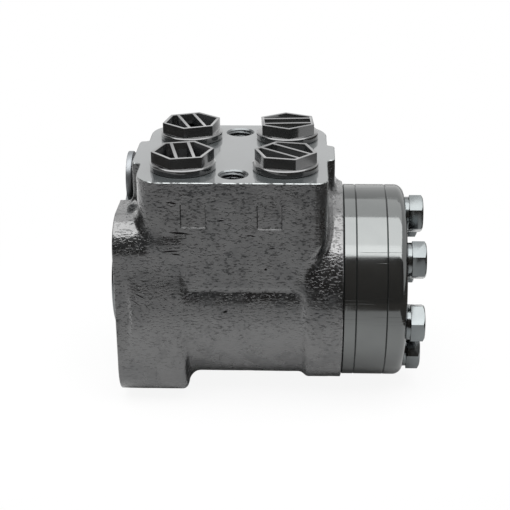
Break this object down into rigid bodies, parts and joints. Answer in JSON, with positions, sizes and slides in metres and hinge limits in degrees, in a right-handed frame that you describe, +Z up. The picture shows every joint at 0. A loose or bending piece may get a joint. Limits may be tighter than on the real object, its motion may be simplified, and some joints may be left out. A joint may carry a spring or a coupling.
{
  "type": "orbital steering unit",
  "caption": "Orbital hydraulic steering unit: cast housing with a square flange, ports on top, a rotary valve and an orbiting gear set under a round bolted cover.",
  "frame": {"origin": "centre of the mounting face, on the shaft axis", "axes": "+X along the shaft from the mounting face to the gear end, +Y away from the camera of the picture, +Z up through the port face"},
  "size_m": [0.1354, 0.088, 0.1111],
  "materials": {
    "painted_casting": "black paint on rough cast iron",
    "painted_steel": "glossy black paint on turned steel",
    "bolt_steel": "zinc plated",
    "plug_plastic": "moulded black plastic",
    "bright_steel": "turned steel",
    "seal_rubber": "oiled rubber",
    "ground_steel": "ground and oiled",
    "spring_steel": "tempered",
    "forged_steel": "hardened"
  },
  "bodies": {
    "housing": {"housing": "painted_casting", "port_plug_t": "plug_plastic", "port_plug_p": "plug_plastic", "port_plug_l": "plug_plastic", "port_plug_r": "plug_plastic", "seal_retainer": "bright_steel", "dust_seal": "seal_rubber", "shaft_seal": "seal_rubber", "thrust_race_front": "ground_steel", "spacer_plate": "painted_steel", "gear_ring": "painted_steel", "end_cover": "painted_steel", "oring_housing": "seal_rubber", "oring_plate": "seal_rubber", "oring_cover": "seal_rubber", "cover_bolts": "bolt_steel", "bolt_washers": "bolt_steel", "relief_valve_plug": "bright_steel", "relief_plug_seal": "seal_rubber", "relief_setting_screw": "ground_steel", "relief_spring": "spring_steel", "check_valve_bush": "ground_steel"},
    "sleeve": {"sleeve": "ground_steel", "cross_pin": "ground_steel", "spring_ring": "ground_steel", "centring_springs": "spring_steel", "thrust_race_rear": "ground_steel"},
    "spool": {"spool": "ground_steel"},
    "needles": {"needle_cage": "ground_steel", "thrust_needles": "ground_steel"},
    "orbit": {"rotor_spacer": "ground_steel"},
    "rotor": {"rotor": "ground_steel"},
    "drive_link": {"drive_link": "forged_steel"},
    "relief_poppet": {"relief_poppet": "ground_steel"},
    "check_ball": {"check_ball": "ground_steel"}
  },
  "joints": [
    {"name": "steering_turn", "type": "hinge", "parent": "housing", "child": "sleeve", "pos_m": [0.05, 0, 0], "axis": [1, 0, 0], "continuous": true},
    {"name": "spool_lead", "type": "hinge", "parent": "sleeve", "child": "spool", "pos_m": [0.05, 0, 0], "axis": [1, 0, 0], "range_deg": [-8, 8], "stiffness_Nm_per_rad": 10},
    {"name": "needle_roll", "type": "hinge", "parent": "housing", "child": "needles", "pos_m": [0.00983, 0, 0], "axis": [1, 0, 0], "continuous": true},
    {"name": "rotor_orbit", "type": "hinge", "parent": "housing", "child": "orbit", "pos_m": [0.1, 0, 0], "axis": [1, 0, 0], "continuous": true},
    {"name": "rotor_spin", "type": "hinge", "parent": "orbit", "child": "rotor", "pos_m": [0.108, 0, 0.0034], "axis": [1, 0, 0], "continuous": true},
    {"name": "link_spin", "type": "hinge", "parent": "orbit", "child": "drive_link", "pos_m": [0.035, 0, 0], "axis": [0.9989, 0, 0.0464], "continuous": true},
    {"name": "relief_lift", "type": "slide", "parent": "housing", "child": "relief_poppet", "axis": [-1, 0, 0], "range_m": [0, 0.0015], "stiffness_N_per_m": 20000, "springref_m": -0.004, "deforming": ["relief_spring"]},
    {"name": "check_ball_lift", "type": "slide", "parent": "housing", "child": "check_ball", "axis": [0, 0, 1], "range_m": [0, 0.0018]}
  ],
  "couplings": [
    {"joint": "needle_roll", "follows": "steering_turn", "ratio": 0.5},
    {"joint": "rotor_orbit", "follows": "steering_turn", "ratio": -6},
    {"joint": "rotor_spin", "follows": "steering_turn", "ratio": 7},
    {"joint": "link_spin", "follows": "steering_turn", "ratio": 7}
  ]
}
